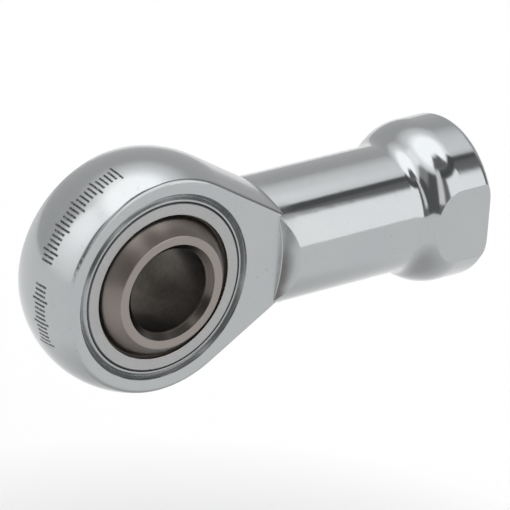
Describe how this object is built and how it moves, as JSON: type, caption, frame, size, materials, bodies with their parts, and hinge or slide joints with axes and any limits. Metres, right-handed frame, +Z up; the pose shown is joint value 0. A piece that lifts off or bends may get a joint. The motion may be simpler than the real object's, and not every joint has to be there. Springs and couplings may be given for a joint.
{
  "type": "rod end bearing",
  "caption": "Female rod end with a tilting spherical inner ring held in a lined race, a round shank and a threaded, spanner-flatted collar.",
  "frame": {"origin": "centre of the inner ring's sphere, on the bore's axis, midway between the two head faces", "axes": "+Y along the bore, +X along the shank towards the threaded end, +Z up across the head"},
  "size_m": [0.057, 0.017, 0.028],
  "materials": {
    "zinc_plated_steel": "bright zinc plated, polished",
    "turned_steel": "fine turned",
    "sliding_liner": "matt woven PTFE composite",
    "ground_bearing_steel": "ground and lapped, brownish grey"
  },
  "bodies": {
    "housing": {"rod_end_body": "zinc_plated_steel", "outer_race": "turned_steel", "race_liner": "sliding_liner"},
    "ball": {"inner_ring": "ground_bearing_steel"}
  },
  "joints": [
    {"name": "ball_tilt", "type": "hinge", "parent": "housing", "child": "ball", "pos_m": [0, 0, 0], "axis": [0, 0, 1], "range_deg": [-14, 14]}
  ]
}
